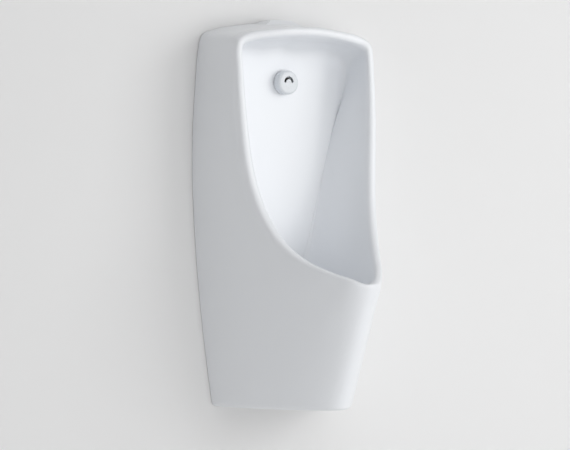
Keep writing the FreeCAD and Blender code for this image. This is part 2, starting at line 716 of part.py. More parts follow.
def path(points, bend):
    """A wire through (x, depth, z) corners, each corner rounded by an arc that meets both lines."""
    corners = [V(x, -deep, z) for x, deep, z in points]
    edges, start = [], corners[0]
    for a, b, c in zip(corners, corners[1:], corners[2:]):
        into, out = (b - a).normalize(), (c - b).normalize()
        half = into.getAngle(out) / 2
        first, last = b - into * (bend * math.tan(half)), b + out * (bend * math.tan(half))
        middle = b + (out - into).normalize() * (bend / math.cos(half) - bend)
        edges += [Part.makeLine(start, first), Part.Arc(first, middle, last).toShape()]
        start = last
    return Part.Wire(edges + [Part.makeLine(start, corners[-1])])


def tube(points, bend, radius, bore=0.0):
    """A round tube or cable along a rounded path."""
    wire = path(points, bend)
    start, ahead = V(points[0][0], -points[0][1], points[0][2]), wire.Edges[0].tangentAt(0)
    outer = wire.makePipeShell([Part.Wire([Part.makeCircle(radius, start, ahead)])], True, False)
    if bore:
        inner = wire.makePipeShell([Part.Wire([Part.makeCircle(bore, start, ahead)])], True, False)
        outer = outer.cut(inner)
    return outer


def spring(label, radius, wire, pitch, length, at, turn):
    """A coil spring between two faces that are a length apart."""
    coil = doc.addObject("Part::Helix", label + "_coil")
    bind(coil, "Radius", radius)
    bind(coil, "Pitch", pitch)
    bind(coil, "Height", "%s-2*%s" % (length, wire))
    x, y, z = at
    start = (x, "%s-%s" % (y, wire), z) if turn == "front" else (x, y, "%s+%s" % (z, wire))
    place(coil, start, turn)
    section = doc.addObject("Part::Circle", label + "_section")
    bind(section, "Radius", wire)
    place(section, ("%s+%s" % (start[0], radius), start[1], start[2]), "up" if turn == "front" else "front")
    swept = doc.addObject("Part::Sweep", label + "_form")
    swept.Sections = [section]
    swept.Spine = (coil, ["Edge1"])
    swept.Solid = True
    swept.Frenet = True
    return keep(swept, label)


# ------------------------------------------------------------------ spray
SPRAY = ("0", "0", SPRAY_Z)
HOLLOW = "(back_depth-wall_thickness-1)"
CAP_BACK = "(back_depth+gasket_thickness)"
CAP_FRONT = "(back_depth+gasket_thickness+cap_length)"
FLANGE_FRONT = "(back_depth+gasket_thickness+flange_thickness)"

keep(ring("gasket", "spray_thread_radius+0.1", "gasket_radius", "back_depth", CAP_BACK, SPRAY, "front"),
     "spray_gasket")

cap_turn = turned("cap_turn", [
    ("cap_radius", CAP_BACK), ("cap_radius", CAP_FRONT), ("1", CAP_FRONT), ("1", CAP_FRONT + "-cap_face"),
    ("flange_radius", CAP_FRONT + "-cap_face"), ("flange_radius", FLANGE_FRONT + "+4"),
    ("spray_thread_radius", FLANGE_FRONT + "+4"), ("spray_thread_radius", FLANGE_FRONT),
    ("flange_radius", FLANGE_FRONT), ("flange_radius", CAP_BACK)], SPRAY, "front")
rounded(cap_turn, "cap_round", lambda e: e.BoundBox.XMax > size("cap_radius") - 0.01
        and e.BoundBox.ZMin > size("back_depth") + 10 and e.Curve.TypeId == "Part::GeomCircle")
cap_middle = rod("cap_middle", "1", "cap_face", ("0", "cap_face-" + CAP_FRONT, SPRAY_Z), "front")
ARC_Z = "(crown_height-spray_drop+slot_rise)"
slot_ring = ring("slot_ring", "slot_radius-slot_width/2", "slot_radius+slot_width/2",
                 CAP_FRONT + "-cap_face-1",
                 CAP_FRONT + "+1", ("0", "0", ARC_Z), "front")
slot_low = box("slot_low", ("-2*cap_radius", "-2-" + CAP_FRONT, ARC_Z + "+slot_end_rise-cap_radius"),
               ("4*cap_radius", "cap_face+6", "cap_radius"))
slot_ends = [rod("slot_end_" + side, "slot_width/2", "cap_face+2",
                 (sign + "slot_radius", "cap_face+1-" + CAP_FRONT, ARC_Z + "+slot_end_rise"), "front")
             for side, sign in (("left", "-"), ("right", ""))]
keep(cut("cap_form", joined("cap_whole", [cap_turn, cap_middle]),
         [cut("slot_arc", slot_ring, [slot_low])] + slot_ends), "spray_cap")

TAIL_FRONT = HOLLOW + "-washer_thickness-nut_thickness"
keep(turned("nozzle", [
    ("spray_bore_radius", "elbow_axis_depth-1"), ("spray_thread_radius-1.5", "elbow_axis_depth-1"),
    ("spray_thread_radius-1.5", TAIL_FRONT), ("spray_thread_radius", TAIL_FRONT),
    ("spray_thread_radius", CAP_BACK), ("flange_radius", CAP_BACK), ("flange_radius", FLANGE_FRONT),
    ("spray_thread_radius", FLANGE_FRONT), ("spray_thread_radius", FLANGE_FRONT + "+6"),
    ("spray_bore_radius", FLANGE_FRONT + "+6")], SPRAY, "front"), "spray_body")
keep(ring("back_washer", "spray_thread_radius", "spray_nut_radius", HOLLOW + "-washer_thickness", HOLLOW,
          SPRAY, "front"), "spray_washer")
keep(cut("spray_nut_form",
         hexagon("spray_nut_hex", "spray_nut_radius", "nut_thickness", ("0", "-(" + TAIL_FRONT + ")",
                 SPRAY_Z), "front"),
         [rod("spray_nut_bore", "spray_thread_radius", "nut_thickness+2",
              ("0", "1-(" + TAIL_FRONT + ")", SPRAY_Z), "front")]), "spray_nut")

NECK = "(crown_height-spray_drop-elbow_drop)"
elbow_form = cut("elbow_form", joined("elbow_whole", [
    rod("elbow_back_part", "elbow_radius", TAIL_FRONT + "-elbow_back", ("0", "-elbow_back", SPRAY_Z),
        "front"),
    rod("elbow_neck", "elbow_neck_radius", "elbow_drop", ("0", "-elbow_axis_depth", NECK))]), [
    rod("elbow_socket", "spray_thread_radius-1.5", "elbow_radius*2",
        ("0", "1-elbow_axis_depth", SPRAY_Z), "front"),
    rod("elbow_bore", "spray_bore_radius", "elbow_axis_depth-elbow_back-3",
        ("0", "-elbow_back-3", SPRAY_Z), "front"),
    rod("elbow_rise", "spray_bore_radius-0.5", "elbow_drop", ("0", "-elbow_axis_depth", NECK)),
    rod("check_bore", "check_bore_radius", "elbow_drop-9", ("0", "-elbow_axis_depth", NECK))])
keep(elbow_form, "spray_elbow")
ELBOW_AXIS = ("0", "-elbow_axis_depth", NECK)
keep(ring("seat", "check_seat_bore", "check_bore_radius", "0", "4", ELBOW_AXIS), "check_seat")
poppet_disc = rod("poppet_disc", "check_bore_radius-check_clearance", "4",
                  ("0", "-elbow_axis_depth", NECK + "+4"))
poppet_stem = rod("poppet_stem", "2", "9", ("0", "-elbow_axis_depth", NECK + "+5"))
notches = [rod("notch_%d" % i, "1.4", "6",
               ("check_bore_radius*(%d)" % dx, "check_bore_radius*(%d)-elbow_axis_depth" % dy, NECK + "+3"))
           for i, (dx, dy) in enumerate(((1, 0), (0, 1), (-1, 0), (0, -1)))]
keep(joined("poppet_form", [cut("poppet_notched", poppet_disc, notches), poppet_stem]), "check_poppet")
spring("check_spring", "3.6", "0.4", "2.4", "elbow_drop-17", ("0", "-elbow_axis_depth", NECK + "+8"), "up")

# ------------------------------------------------------------------ hose
VALVE_TOP = "(valve_z+valve_up)"
keep(joined("hose_nuts_form", [
    cut("hose_nut_" + name, hexagon("hose_hex_" + name, "hose_nut_radius", "hose_nut_length", at),
        [rod("hose_nut_bore_" + name, "hose_radius", "3*hose_nut_length", (at[0], at[1], at[2] + "-5"))])
    for name, at in (("low", ("valve_x", "-outlet_axis_depth", VALVE_TOP)),
                     ("high", ("0", "-elbow_axis_depth", NECK + "-hose_nut_length")))]), "hose_nuts")
side_x, out_deep, neck_deep = size("valve_x"), size("outlet_axis_depth"), size("elbow_axis_depth")
valve_top = size("valve_z") + size("valve_up")
neck_low = SPRAY_HEIGHT - size("elbow_drop")
shaped("flush_hose", tube([
    (side_x, out_deep, valve_top), (side_x, out_deep, valve_top + 38), (side_x, neck_deep, valve_top + 78),
    (side_x, neck_deep, neck_low - 116), (0, neck_deep, neck_low - 56), (0, neck_deep, neck_low)],
    30, size("hose_radius"), size("hose_radius") - 2.5))

# ------------------------------------------------------------------ flush valve
VALVE = ("valve_x", "0", "valve_z")
valve_block = box("valve_block", ("valve_x-valve_half", "-valve_front", "valve_z-valve_up"),
                  ("2*valve_half", "valve_front-valve_back", "2*valve_up"))
SCREWS = [("valve_x%sscrew_offset" % a, "valve_z%sscrew_offset" % b) for a in "+-" for b in "+-"]
screw_holes = [rod("screw_hole_%d" % i, "screw_radius", "9", (x, "8-valve_front", z), "front")
               for i, (x, z) in enumerate(SCREWS)]
keep(cut("valve_block_form", valve_block, [
    rod("inlet_bore", "valve_bore_radius", "valve_up-7",
        ("valve_x", "-inlet_axis_depth", "valve_z-valve_up")),
    ring("chamber", "seat_radius", "chamber_radius", "valve_front-chamber_depth", "valve_front+1", VALVE,
         "front"),
    rod("seat_bore", "valve_bore_radius", "valve_front-outlet_axis_depth+1",
        ("valve_x", "-outlet_axis_depth", "valve_z"), "front"),
    rod("outlet_bore", "valve_bore_radius", "valve_up+1", ("valve_x", "-outlet_axis_depth", "valve_z"))]
    + screw_holes), "valve_body")
keep(rod("diaphragm_form", "diaphragm_radius", "diaphragm_thickness", ("valve_x", "-valve_front", "valve_z"),
         "front"), "diaphragm")
BONNET_FRONT = "(valve_front+diaphragm_thickness+bonnet_thickness)"
GUIDE_FRONT = "(valve_front+diaphragm_thickness+bonnet_thickness+guide_length)"
bonnet_plate = box("bonnet_plate", ("valve_x-valve_half", "-" + BONNET_FRONT, "valve_z-valve_half"),
                   ("2*valve_half", "bonnet_thickness+diaphragm_thickness", "2*valve_half"))
keep(cut("bonnet_form", joined("bonnet_whole", [
    bonnet_plate, rod("guide", "guide_radius", "guide_length+1", ("valve_x", "1-" + BONNET_FRONT, "valve_z"),
                      "front")]), [
    rod("bonnet_recess", "diaphragm_radius", "diaphragm_thickness+1", ("valve_x", "1-valve_front", "valve_z"),
        "front"),
    rod("bonnet_room", "diaphragm_radius-4", "plunger_travel+1.5",
        ("valve_x", "-valve_front-diaphragm_thickness+0.5", "valve_z"), "front"),
    rod("guide_bore", "plunger_radius+plunger_clearance", "bonnet_thickness+guide_length-3",
        ("valve_x", "-valve_front-diaphragm_thickness", "valve_z"), "front")]
    + [rod("bonnet_hole_%d" % i, "screw_radius", "20", (x, "4-valve_front", z), "front")
       for i, (x, z) in enumerate(SCREWS)]), "valve_bonnet")
keep(joined("screws_form", [rod("screw_shank_%d" % i, "screw_radius", BONNET_FRONT + "-valve_front+7",
                                (x, "7-valve_front", z), "front") for i, (x, z) in enumerate(SCREWS)]
            + [rod("screw_head_%d" % i, "screw_head_radius", "screw_head", (x, "-" + BONNET_FRONT, z),
                   "front")
               for i, (x, z) in enumerate(SCREWS)]), "bonnet_screws")
PLUNGER_BACK = "(valve_front+diaphragm_thickness)"
keep(cut("plunger_form", rod("plunger_rod", "plunger_radius", "plunger_length",
                             ("valve_x", "-" + PLUNGER_BACK, "valve_z"), "front"),
         [rod("plunger_socket", "plunger_radius-1.2", "6",
              ("valve_x", "5-plunger_length-" + PLUNGER_BACK, "valve_z"), "front")]), "plunger")
spring("plunger_spring", "plunger_radius-1.9", "0.4", "2.4",
       "bonnet_thickness+guide_length-3-plunger_length+5",
       ("valve_x", "5-plunger_length-" + PLUNGER_BACK, "valve_z"), "front")
CASE_BACK = "(valve_front+diaphragm_thickness+bonnet_thickness+case_gap)"
keep(ring("coil_ring", "coil_inner", "coil_outer", CASE_BACK + "+case_wall",
          CASE_BACK + "+case_length-case_wall",
          VALVE, "front"), "solenoid_coil")
keep(turned("case_turn", [
    ("guide_radius", CASE_BACK), ("case_radius", CASE_BACK), ("case_radius", CASE_BACK + "+case_length"),
    ("guide_radius", CASE_BACK + "+case_length"), ("guide_radius", CASE_BACK + "+case_length-case_wall"),
    ("case_radius-case_wall", CASE_BACK + "+case_length-case_wall"),
    ("case_radius-case_wall", CASE_BACK + "+case_wall"), ("guide_radius", CASE_BACK + "+case_wall")],
    VALVE, "front"), "coil_case")
CASE_FRONT = "(valve_front+diaphragm_thickness+bonnet_thickness+case_gap+case_length)"
keep(cut("coil_nut_form", hexagon("coil_nut_hex", "guide_radius+4", "5",
                                  ("valve_x", "-" + CASE_FRONT, "valve_z"), "front"),
         [rod("coil_nut_bore", "guide_radius", "9", ("valve_x", "2-" + CASE_FRONT, "valve_z"), "front")]),
     "coil_nut")
INLET = ("valve_x", "-inlet_axis_depth", "valve_z-valve_up")
MESH = [(0, 0)] + [(3.4 * math.cos(i * math.pi / 3), 3.4 * math.sin(i * math.pi / 3)) for i in range(6)]
keep(cut("filter_form", rod("filter_disc", "port_radius", "2",
                            ("valve_x", "-inlet_axis_depth", "valve_z-valve_up-2")),
         [rod("mesh_%d" % i, "1.1", "4", ("valve_x+(%g)" % x, "(%g)-inlet_axis_depth" % y,
                                          "valve_z-valve_up-3")) for i, (x, y) in enumerate(MESH)]),
     "inlet_filter")
keep(cut("union_form", hexagon("union_hex", "port_radius+6", "19",
                               ("valve_x", "-inlet_axis_depth", "valve_z-valve_up-19")),
         [rod("union_bore", "port_radius", "21", ("valve_x", "-inlet_axis_depth", "valve_z-valve_up-20"))]),
     "inlet_union_nut")

# ------------------------------------------------------------------ stop valve
STOP = ("valve_x", "0", "stop_z")
stop_form = cut("stop_form", joined("stop_whole", [
    rod("stop_barrel", "stop_radius", "stop_length-4", ("valve_x", "-4", "stop_z"), "front"),
    rod("stop_tail", "tail_radius", "tail_length", ("valve_x", "tail_length+tail_gap", "stop_z"), "front"),
    rod("stop_neck", "tail_neck_radius", "10", ("valve_x", "tail_gap+1", "stop_z"), "front"),
    rod("stop_outlet", "port_radius", "valve_z-valve_up-2-stop_z",
        ("valve_x", "-inlet_axis_depth", "stop_z"))]), [
    rod("stop_inlet_bore", "valve_bore_radius", "tail_length+30", ("valve_x", "tail_length+2", "stop_z"),
        "front"),
    rod("stop_room", "stop_bore_radius", "stop_length", ("valve_x", "-stop_length/2", "stop_z"), "front"),
    rod("stop_outlet_bore", "valve_bore_radius", "valve_z-stop_z", ("valve_x", "-inlet_axis_depth",
                                                                   "stop_z"))])
keep(stop_form, "stop_valve_body")
keep(ring("rosette_ring", "tail_neck_radius", "rosette_radius", "0", "rosette_thickness", STOP, "front"),
     "stop_rosette")
DISC = "(stop_length/2)"
keep(cut("fixed_disc_form", rod("disc_low", "stop_bore_radius", "3",
                                ("valve_x", "-" + DISC, "stop_z"), "front"),
         [rod("disc_hole_" + side, "2.2", "5", ("valve_x%s4.5" % side_sign, "1-" + DISC, "stop_z"), "front")
          for side, side_sign in (("left", "-"), ("right", "+"))]), "fixed_disc")
turning = cut("disc_top_form", rod("disc_top", "stop_bore_radius-spindle_clearance", "3",
                                   ("valve_x", "-3-" + DISC, "stop_z"), "front"),
              [rod("top_hole_" + side, "2.2", "5", ("valve_x%s4.5" % side_sign, "-2-" + DISC, "stop_z"),
                   "front")
               for side, side_sign in (("left", "-"), ("right", "+"))])
STEM_FRONT = "(stop_length+6+knob_length+0.5)"
keep(cut("spindle_form", joined("spindle_whole", [turning, rod(
    "stem", "spindle_radius", STEM_FRONT + "-6-" + DISC, ("valve_x", "-6-" + DISC, "stop_z"), "front")]),
    [rod("stem_hole", "1.5", "9", ("valve_x", "8-" + STEM_FRONT, "stop_z"), "front")]), "stop_spindle")
keep(ring("spindle_seal_ring", "spindle_radius+spindle_clearance", "stop_bore_radius", "stop_length-8",
          "stop_length-6", STOP, "front"), "spindle_seal")
keep(cut("packing_form", joined("packing_whole", [
    rod("packing_thread", "stop_bore_radius", "7", ("valve_x", "6-stop_length", "stop_z"), "front"),
    hexagon("packing_hex", "stop_radius-1", "5", ("valve_x", "-stop_length", "stop_z"), "front")]),
    [rod("packing_bore", "spindle_radius+spindle_clearance", "20", ("valve_x", "10-stop_length", "stop_z"),
         "front")]), "packing_nut")
KNOB_BACK = "(stop_length+6)"
keep(cut("knob_form", joined("knob_whole", [
    rod("knob_round", "knob_radius-3", "knob_length", ("valve_x", "-" + KNOB_BACK, "stop_z"), "front"),
    box("knob_wing", ("valve_x-3", "-knob_length-" + KNOB_BACK, "stop_z-knob_radius"),
        ("6", "knob_length", "2*knob_radius"))]),
    [rod("knob_bore", "spindle_radius", "knob_length+2", ("valve_x", "1-" + KNOB_BACK, "stop_z"), "front")]),
    "stop_handle")
keep(joined("handle_screw_form", [
    rod("handle_screw_head", "spindle_radius+2", "2.5", ("valve_x", "-" + STEM_FRONT, "stop_z"), "front"),
    rod("handle_screw_shank", "1.5", "8.5", ("valve_x", "8-" + STEM_FRONT, "stop_z"), "front")]),
     "handle_screw")

# ------------------------------------------------------------------ sensor and control
SENSOR_BACK = "(back_depth-wall_thickness-1-sensor_depth)"
sensor_box = box("sensor_box", ("-sensor_half", "-" + HOLLOW, SENSOR_Z),
                 ("2*sensor_half", "sensor_depth", "sensor_height"))
sensor_room = box("sensor_room", ("shell_wall-sensor_half", "shell_wall-" + HOLLOW, SENSOR_Z + "+shell_wall"),
                  ("2*(sensor_half-shell_wall)", "sensor_depth", "sensor_height-2*shell_wall"))
keep(cut("sensor_form", sensor_box, [sensor_room]), "sensor_case")
keep(box("sensor_board_form", ("shell_wall-sensor_half", "-board_thickness-4-" + SENSOR_BACK,
                               SENSOR_Z + "+shell_wall"),
         ("2*(sensor_half-shell_wall)", "board_thickness", "sensor_height-2*shell_wall")), "sensor_board")
keep(box("sensor_lid_form", ("-sensor_half", "-" + SENSOR_BACK, SENSOR_Z),
         ("2*sensor_half", "shell_wall", "sensor_height")), "sensor_lid")

case_low = ("control_x-control_half", "-control_front", "control_bottom")
case_box = box("control_box", case_low,
               ("2*control_half", "control_front-control_back", "control_top-control_bottom"))
case_feet = [box("control_foot_" + name, ("control_x-control_half+6", "-control_back-1", z),
                 ("2*control_half-12", "control_back+1", "8"))
             for name, z in (("low", "control_bottom+16"), ("high", "control_top-24"))]
case_room = box("control_room", ("control_x-control_half+shell_wall", "shell_wall-control_front",
                                 "control_bottom-1"),
                ("2*(control_half-shell_wall)", "control_front-control_back-2*shell_wall",
                 "control_top-control_bottom-shell_wall+1"))
keep(cut("control_form", joined("control_whole", [case_box] + case_feet), [case_room]), "control_case")
keep(box("control_board_form", ("control_x-control_half+shell_wall", "-control_back-shell_wall-6",
                                "control_top-shell_wall-32"),
         ("2*(control_half-shell_wall)", "board_thickness", "32")), "control_board")
tray_box = box("tray_box", ("control_x-control_half+shell_wall+tray_clearance",
                            "shell_wall+tray_clearance-control_front", "control_bottom"),
               ("2*(control_half-shell_wall-tray_clearance)",
                "control_front-control_back-2*(shell_wall+tray_clearance)", "tray_height"))
CELLS = [("control_x%scell_radius%s0.8" % (a, a),
          "-(control_front+control_back)/2%scell_radius%s0.8" % (b, b)) for a in "+-" for b in "+-"]
keep(cut("tray_form", tray_box, [rod("cell_room_%d" % i, "cell_radius", "tray_height",
                                     (x, y, "control_bottom+3")) for i, (x, y) in enumerate(CELLS)]),
     "battery_tray")
keep(joined("cells_form", [rod("cell_%d" % i, "cell_radius", "cell_length", (x, y, "control_bottom+3"))
                           for i, (x, y) in enumerate(CELLS)]), "batteries")
control_x, control_top = size("control_x"), size("control_top")
behind = size("back_depth") - size("wall_thickness") - 1
sensor_low = SPRAY_HEIGHT - size("sensor_drop")
shaped("sensor_cable", tube([
    (-10, behind - 8, sensor_low), (-10, behind - 8, sensor_low - 45),
    (control_x, behind - 8, control_top + 40), (control_x, behind - 8, control_top)],
    12, size("cable_radius")))
case_middle = (size("valve_front") + size("diaphragm_thickness") + size("bonnet_thickness") + size("case_gap")
               + size("case_length") / 2)
case_top = size("valve_z") + size("case_radius")
cross = behind - size("cable_radius") - 1.2
lift, reach, rise = size("cable_lift"), size("cable_reach"), size("cable_rise")
beside = side_x + size("cable_beside")
shaped("valve_cable", tube([
    (side_x, case_middle, case_top), (side_x, case_middle, case_top + lift),
    (beside, cross, case_top + lift + reach), (beside, cross, case_top + rise),
    (control_x - 8, cross, case_top + rise), (control_x - 8, cross, control_top)], 9, size("cable_radius")))

# ------------------------------------------------------------------ waste
WASTE = ("0", "-drain_depth", "0")
UNDER = "(floor_height-wall_thickness-2)"
SEAT_TOP = "(floor_height+seal_thickness)"
WASTE_TOP = "(floor_height+seal_thickness+waste_flange_thickness)"
keep(ring("seal_ring", "waste_radius", "waste_flange_radius", "floor_height", SEAT_TOP, WASTE), "waste_seal")
keep(turned("waste_turn", [
    ("waste_bore_radius", WASTE_TOP + "-waste_length"), ("waste_radius", WASTE_TOP + "-waste_length"),
    ("waste_radius", SEAT_TOP), ("waste_flange_radius", SEAT_TOP), ("waste_flange_radius", WASTE_TOP),
    ("waste_bore_radius", WASTE_TOP)], WASTE), "waste_flange")
keep(ring("under_washer", "waste_radius", "waste_nut_radius", UNDER + "-washer_thickness", UNDER, WASTE),
     "waste_washer")
LOCK_LOW = "(floor_height-wall_thickness-2-washer_thickness-waste_nut_height)"
keep(cut("lock_form", hexagon("lock_hex", "waste_nut_radius", "waste_nut_height",
                              ("0", "-drain_depth", LOCK_LOW)),
         [rod("lock_bore", "waste_radius", "2*waste_nut_height", ("0", "-drain_depth", LOCK_LOW + "-2"))]),
     "waste_nut")
NECK_TOP = "(floor_height-neck_drop)"
SHOULDER_Z = "(floor_height-neck_drop-neck_height)"
OUTLET_Z = "(floor_height-outlet_drop)"
keep(turned("trap_nut_turn", [
    ("neck_radius", SHOULDER_Z + "+0.5"), ("trap_nut_radius", SHOULDER_Z + "+0.5"),
    ("trap_nut_radius", NECK_TOP + "+3.5"), ("waste_radius", NECK_TOP + "+3.5"),
    ("waste_radius", NECK_TOP + "+1"), ("neck_radius", NECK_TOP + "+1")], WASTE), "trap_nut")
keep(ring("trap_seal_ring", "waste_radius", "neck_radius", NECK_TOP, NECK_TOP + "+1", WASTE),
     "trap_seal")
STUB_BACK = "(drain_depth-trap_radius-stub_length)"
POT = ("0", "-drain_depth", "floor_height-trap_drop")
POT_ROOM = ("0", "-drain_depth", "floor_height-trap_drop+trap_wall")
keep(cut("trap_form", joined("trap_whole", [
    rod("pot", "trap_radius", "trap_drop-neck_drop-neck_height", POT),
    rod("neck", "neck_radius", "trap_drop-neck_drop", POT),
    rod("stub", "outlet_radius+stub_wall", "stub_length+trap_radius",
        ("0", "-" + STUB_BACK, OUTLET_Z), "front")]), [
    rod("pot_room", "trap_radius-trap_wall", "trap_drop-neck_drop-neck_height-2*trap_wall", POT_ROOM),
    rod("neck_room", "waste_radius+neck_clearance", "trap_drop-neck_drop", POT_ROOM),
    rod("stub_socket", "outlet_radius", "stub_length-3", ("0", "1-" + STUB_BACK, OUTLET_Z), "front"),
    rod("stub_hole", "outlet_radius-outlet_wall", "stub_length+trap_radius",
        ("0", "-" + STUB_BACK, OUTLET_Z), "front")]), "trap_body")
OUTLET = ("0", "0", OUTLET_Z)
keep(turned("pipe_turn", [
    ("outlet_radius-outlet_wall", "-outlet_into_wall"), ("spigot_radius", "-outlet_into_wall"),
    ("spigot_radius", "-1"), ("outlet_radius", "-1"), ("outlet_radius", STUB_BACK + "+stub_length-4"),
    ("outlet_radius-outlet_wall", STUB_BACK + "+stub_length-4")], OUTLET, "front"), "outlet_pipe")
GRIP = "outlet_radius+stub_wall+outlet_nut_wall"
keep(turned("outlet_nut_turn", [
    ("outlet_radius", STUB_BACK + "-3"), (GRIP, STUB_BACK + "-3"), (GRIP, STUB_BACK + "+outlet_nut_grip"),
    ("outlet_radius+stub_wall", STUB_BACK + "+outlet_nut_grip"), ("outlet_radius+stub_wall", STUB_BACK),
    ("outlet_radius", STUB_BACK)], OUTLET, "front"), "outlet_nut")
keep(ring("outlet_seal_ring", "outlet_radius", "outlet_radius+6", "0", "3", OUTLET, "front"), "outlet_seal")
keep(turned("waste_rosette_turn", [
    ("outlet_radius+6", "0"), ("waste_rosette_radius", "0"), ("waste_rosette_radius", "2"),
    ("outlet_radius+10", "5"), ("outlet_radius", "5"), ("outlet_radius", "3"), ("outlet_radius+6", "3")],
    OUTLET, "front"), "waste_rosette")
RING_Z = "(floor_height-6)"
keep(turned("insert_turn", [
    ("insert_tube_radius-insert_wall", "floor_height-insert_drop"),
    ("insert_tube_radius", "floor_height-insert_drop"),
    ("insert_tube_radius", "floor_height-12"), ("insert_radius", "floor_height-12"),
    ("insert_radius", RING_Z), ("insert_radius-2", RING_Z), ("insert_radius-2", RING_Z + "+2.5"),
    ("insert_radius", RING_Z + "+2.5"), ("insert_radius", WASTE_TOP),
    ("insert_tube_radius-insert_wall", WASTE_TOP)], WASTE), "trap_insert")
keep(ring("insert_ring", "insert_radius-2", "insert_radius+0.06", RING_Z, RING_Z + "+2.5", WASTE),
     "insert_seal_ring")
strainer_disc = rod("strainer_disc", "strainer_radius", "strainer_thickness",
                    ("0", "-drain_depth", WASTE_TOP))
keep(cut("strainer_form", strainer_disc,
         [rod("strainer_hole_%d" % i, "3", "3*strainer_thickness",
              ("(%g)" % (9 * math.cos(i * math.pi / 3)), "(%g)-drain_depth" % (9 * math.sin(i * math.pi / 3)),
               WASTE_TOP + "-4")) for i in range(6)]), "strainer")

# ------------------------------------------------------------------ hanging
plate = box("plate", ("-bracket_half", "-bracket_thickness", BRACKET_Z),
            ("2*bracket_half", "bracket_thickness", "bracket_height-pad_thickness"))
slots = []
for side, sign in (("left", "-"), ("right", "")):
    slots.append(box("slot_box_" + side, (sign + "slot_x-bolt_slot_length/2+bolt_slot_radius",
                                          "-2*bracket_thickness",
                                          BRACKET_Z + "+slot_rise_z-bolt_slot_radius"),
                     ("bolt_slot_length-2*bolt_slot_radius", "3*bracket_thickness", "2*bolt_slot_radius")))
    for end, shift in (("in", "-bolt_slot_length/2+bolt_slot_radius"),
                       ("out", "+bolt_slot_length/2-bolt_slot_radius")):
        slots.append(rod("slot_round_%s_%s" % (side, end), "bolt_slot_radius", "3*bracket_thickness",
                         (sign + "slot_x" + shift, "bracket_thickness", BRACKET_Z + "+slot_rise_z"), "front"))
hooks = []
for side, sign in (("left", "-"), ("right", "")):
    hooks.append(box("hook_arm_" + side, (sign + "hook_x-hook_width/2", "-hook_reach",
                                          RAIL_Z + "-pad_thickness-bracket_thickness"),
                     ("hook_width", "hook_reach", "bracket_thickness")))
    hooks.append(box("hook_lip_" + side, (sign + "hook_x-hook_width/2", "-hook_reach",
                                          RAIL_Z + "-pad_thickness-bracket_thickness"),
                     ("hook_width", "bracket_thickness", "hook_lip")))
keep(cut("bracket_form", joined("bracket_whole", [plate] + hooks), slots), "wall_bracket")
keep(joined("pads_form", [box("pad_" + side, (sign + "hook_x-hook_width/2", "-rail_front",
                                              RAIL_Z + "-pad_thickness"),
                              ("hook_width", "rail_front-rail_back", "pad_thickness"))
                          for side, sign in (("left", "-"), ("right", ""))]), "hook_pads")
keep(joined("bushes_form", [turned("bush_" + side, [
    ("bush_bore_radius", "0"), ("cleat_hole_radius", "0"), ("cleat_hole_radius", "cleat_depth"),
    ("bush_flange_radius", "cleat_depth"), ("bush_flange_radius", "cleat_depth+bush_flange"),
    ("bush_bore_radius", "cleat_depth+bush_flange")], (sign + "cleat_hole_x", "0", "cleat_hole_z"), "front")
    for side, sign in (("left", "-"), ("right", ""))]), "rail_bushes")

# ------------------------------------------------------------------ checks and files
doc.recompute()
for obj in doc.Objects:
    if "Invalid" in obj.State or "Error" in obj.State:
        raise SystemExit("%s is in state %s" % (obj.Name, obj.State))
for obj in PARTS:
    if obj.Shape.isNull() or not obj.Shape.isValid():
        raise SystemExit("%s has no valid shape" % obj.Label)
os.makedirs("parts", exist_ok=True)
for obj in PARTS:
    obj.Shape.exportStep("parts/%s.step" % obj.Label)
print(len(PARTS), "pieces")
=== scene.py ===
"""Wall hung urinal: glazed ceramic, spray cap and the pieces behind it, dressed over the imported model.

Metres, in the model's frame: the wall is y = 0, the bowl looks towards -Y, +Z is up.
"""
import json
import math

import bmesh
import bpy
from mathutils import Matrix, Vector


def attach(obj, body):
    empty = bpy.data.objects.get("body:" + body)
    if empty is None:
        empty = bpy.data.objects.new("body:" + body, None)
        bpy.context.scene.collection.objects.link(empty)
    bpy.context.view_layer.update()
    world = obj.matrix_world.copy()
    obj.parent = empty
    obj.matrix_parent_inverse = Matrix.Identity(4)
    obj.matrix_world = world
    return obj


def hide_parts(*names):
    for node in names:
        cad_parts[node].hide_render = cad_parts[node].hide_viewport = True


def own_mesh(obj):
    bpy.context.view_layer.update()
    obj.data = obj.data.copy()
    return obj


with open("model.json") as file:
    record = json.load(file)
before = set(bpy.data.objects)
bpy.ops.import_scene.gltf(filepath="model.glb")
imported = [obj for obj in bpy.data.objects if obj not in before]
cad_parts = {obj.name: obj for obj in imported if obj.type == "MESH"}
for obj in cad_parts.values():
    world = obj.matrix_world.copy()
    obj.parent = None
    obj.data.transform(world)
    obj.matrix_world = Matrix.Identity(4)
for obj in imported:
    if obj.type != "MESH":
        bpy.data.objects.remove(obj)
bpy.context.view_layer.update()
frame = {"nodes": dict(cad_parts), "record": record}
nodes = frame["nodes"]
scene = bpy.context.scene

# ------------------------------------------------------------------ camera
PHOTO_WIDTH = 570
PHOTO_MIDDLE = (285, 225)
# where the point AIM, at the eye's height, falls in the photo
AIM_PIXEL = (317.9, 195.9)
METRES_PER_PIXEL = 0.0017885
CAMERA_TURN = math.radians(-34.5)
CAMERA_REACH = 5.0
CAMERA_FILM = 36
AIM = Vector((0, -0.150, 0.350))
EYE_HEIGHT = 0.380

